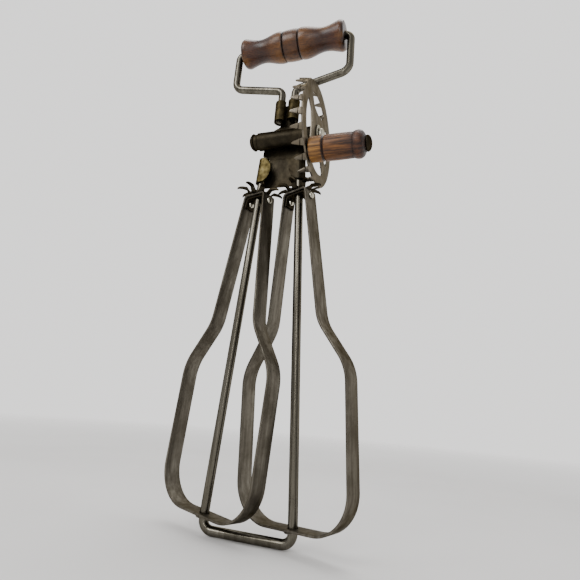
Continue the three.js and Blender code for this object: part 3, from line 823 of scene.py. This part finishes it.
def neck_lean():
    """How fast a band's neck widens down the rod."""
    return (BAND["shoulder"] - BAND["neck"]) / (BAND["neck_end"] - BAND["top"])


def neck_inside(down):
    """How far out the inner face of a band's neck is, a distance down the rod."""
    return BAND["neck"] + neck_lean() * (down - BAND["top"]) - BAND["thickness"] / 2


def flat_section(width, thickness, edge):
    """The section of a strip, with its long edges eased."""
    t, w = thickness / 2, width / 2
    return rounded([(-t, -w, edge), (t, -w, edge), (t, w, edge), (-t, w, edge)], step=30)


def bore_cutters(reach):
    """The rod's hole along z and the rivets' holes along x."""
    above, across = 10, 20
    bore, hole = BAND["bore"], RIVET["radius"] + GAP
    rod = lathe([(0, -reach), (bore, -reach), (bore, above), (0, above)], "Z", count=40)
    rivets = lathe([(0, -across), (hole, -across), (hole, across), (0, across)], "X",
                   (0, 0, -RIVET["down"]), 24)
    return [rod, rivets]


def dasher_band():
    """One closed band of strip, pierced by its rod and its rivets."""
    half = [(BAND["neck"], -BAND["top"], BAND["top_bend"]),
            (BAND["shoulder"], -BAND["neck_end"], BAND["shoulder_bend"]),
            (BAND["body"], -BAND["body_start"], BAND["shoulder_bend"]),
            (BAND["body"], -BAND["bottom"], BAND["corner"])]
    left = [(-r, z, bend) for r, z, bend in half]
    path = rounded(left + half[::-1], step=4)
    band = swept(path, flat_section(BAND["width"], BAND["thickness"], 0.4), closed=True)
    return boolean(band, bore_cutters(BAND["bottom"] + 10), "DIFFERENCE")


def hub_bracket():
    """The bent bracket inside the neck, riveted to the band."""
    inset = GAP + BRACKET["thickness"] / 2
    web = BAND["top"] + BAND["thickness"] / 2 + inset
    half = [(neck_inside(BRACKET["leg_end"]) - inset, -BRACKET["leg_end"], 0),
            (neck_inside(web) - inset, -web, BRACKET["bend"])]
    left = [(-r, z, bend) for r, z, bend in half]
    path = rounded(left + half[::-1], closed=False, step=8)
    bracket = swept(path, flat_section(BRACKET["width"], BRACKET["thickness"], 0.35))
    return boolean(bracket, bore_cutters(BRACKET["leg_end"]), "DIFFERENCE")


def band_rivet(side):
    """A rivet through the band and the bracket, round-headed on both faces."""
    clear = neck_lean() * RIVET["head"] + GAP
    outer = neck_inside(RIVET["down"]) + BAND["thickness"] + clear
    inner = neck_inside(RIVET["down"]) - GAP - BRACKET["thickness"] - clear
    dome = smooth([(RIVET["head"], 0.2), (RIVET["head"] * 0.9, 0.8), (RIVET["head"] * 0.55, 1.4),
                   (0, RIVET["height"])], 4)
    profile = [(p.x, inner - p.y) for p in reversed(dome)] + [(RIVET["head"] - 0.1, inner)]
    profile += [(RIVET["radius"], inner), (RIVET["radius"], outer), (RIVET["head"] - 0.1, outer)]
    profile += [(p.x, outer + p.y) for p in dome]
    rivet = lathe(profile, "X", count=32)
    if side < 0:
        rivet.transform(Matrix.Rotation(math.pi, 4, "Z"))
    rivet.transform(Matrix.Translation((0, 0, -RIVET["down"])))
    return rivet


def build_dashers():
    """Both pinions with their bands, brackets, rivets and washers, each about its leaning rod."""
    under_pinion = -PINION["dish"] + PINION["thickness"] / 2 + GAP
    upper = ring(BAND["bore"], WASHER["dasher"], under_pinion, -1)
    lower = ring(BAND["bore"], WASHER["dasher"], -BAND["bottom"] - 2, -BAND["bottom"] - 1.1)
    for name, side in (("left", -1), ("right", 1)):
        rod = Matrix.Translation(on_rod(side, 0)) @ leaning_with_rod(side)
        pinion = rod @ Matrix.Rotation(math.radians(PHASE[name]), 4, "Z")
        dasher = rod @ Matrix.Rotation(math.radians(BAND["angle"]), 4, "Z")
        shapes = {
            "pinion": (star_pinion(), pinion),
            "upper_washer": (lathe(upper, "Z"), rod),
            "lower_washer": (lathe(lower, "Z"), rod),
            "dasher_band": (dasher_band(), dasher),
            "hub_bracket": (hub_bracket(), dasher),
            "rivet_inner": (band_rivet(-side), dasher),
            "rivet_outer": (band_rivet(side), dasher),
        }
        for part, (mesh, place) in shapes.items():
            mesh.transform(place)
            finish_piece(f"{name}_{part}", mesh)


# ---------------------------------------------------------------- camera, floor and light

def build_camera():
    """A wide lens in front of the dashers' lower half, that looks up at the tool by 15 degrees."""
    camera = in_scene("camera", bpy.data.cameras.new("camera"))
    camera.data.lens = CAMERA["lens"]
    camera.data.sensor_width = CAMERA["sensor"]
    right = Vector(CAMERA_RIGHT).normalized()
    back = right.cross(Vector(CAMERA_UP)).normalized()
    turn = Matrix((right, back.cross(right), back)).transposed().to_4x4()
    camera.matrix_world = Matrix.Translation(CAMERA["place"]) @ turn
    bpy.context.scene.camera = camera


def build_floor():
    """A pale floor that fades into the pale surround."""
    level = cad_box[0][2] - FLOOR["below"]
    steps = 64
    vertices = [(0, 0, level)] + [(p.x, p.y, level) for p in circle(FLOOR["radius"], steps)]
    faces = [[0, k + 1, (k + 1) % steps + 1] for k in range(steps)]
    mesh = bpy.data.meshes.new("floor")
    mesh.from_pydata(vertices, [], faces)
    pale = Nodes("floor")
    cloud = pale.noise((6, 6, 6), detail=3)
    tone = pale.ramp(cloud, [(0.3, (0.66, 0.65, 0.64, 1)), (0.7, (0.7, 0.69, 0.68, 1))])
    pale.link(tone, pale.shader.inputs["Base Color"])
    pale.set(Roughness=0.85)
    length = pale.tree.nodes.new("ShaderNodeVectorMath")
    length.operation = "LENGTH"
    pale.link(pale.place, length.inputs[0])
    fade = pale.spread(length.outputs["Value"], FLOOR["fade_start"], FLOOR["fade_end"], 1.0, 0.0)
    pale.link(fade, pale.shader.inputs["Alpha"])
    mesh.materials.append(pale.material)
    in_scene("floor", mesh)


def build_room():
    """A plain pale room, paler at the back than at the front."""
    world = bpy.data.worlds.new("room")
    world.use_nodes = True
    tree = world.node_tree
    direction = tree.nodes.new("ShaderNodeTexCoord")
    split = tree.nodes.new("ShaderNodeSeparateXYZ")
    shade = tree.nodes.new("ShaderNodeMapRange")
    for name, value in (("From Min", -0.3), ("From Max", 0.4), ("To Min", 0.85), ("To Max", 1.8)):
        shade.inputs[name].default_value = value
    background = tree.nodes["Background"]
    background.inputs["Color"].default_value = (0.80, 0.79, 0.78, 1)
    tree.links.new(direction.outputs["Generated"], split.inputs["Vector"])
    tree.links.new(split.outputs["Y"], shade.inputs["Value"])
    tree.links.new(shade.outputs["Result"], background.inputs["Strength"])
    bpy.context.scene.world = world


def build_light():
    """Soft boxes in front and above. Each has a place, what it faces, its size in metres and its watts."""
    boxes = {
        "key": ((-0.5, -1.0, 0.5), (0, 0, -0.15), (0.7, 0.7), 9),
        "strip": ((0.25, -1.1, 0.05), (0, 0, -0.25), (0.12, 0.7), 2),
        "top": ((0.1, 0.1, 1.0), (0, 0, -0.2), (0.7, 0.7), 7),
    }
    for name, (place, target, size, power) in boxes.items():
        light = bpy.data.lights.new(name, "AREA")
        light.shape = "RECTANGLE"
        light.size, light.size_y = size
        light.energy = power
        lamp = in_scene(name, light)
        lamp.location = place
        lamp.rotation_euler = (Vector(target) - Vector(place)).to_track_quat("-Z", "Y").to_euler()


build_camera()
build_grip()
build_handle_wire()
build_dasher_wire()
build_frame_plate()
build_axle()
build_wheel()
build_knob()
build_knob_pin()
build_dashers()
build_floor()
build_room()
build_light()
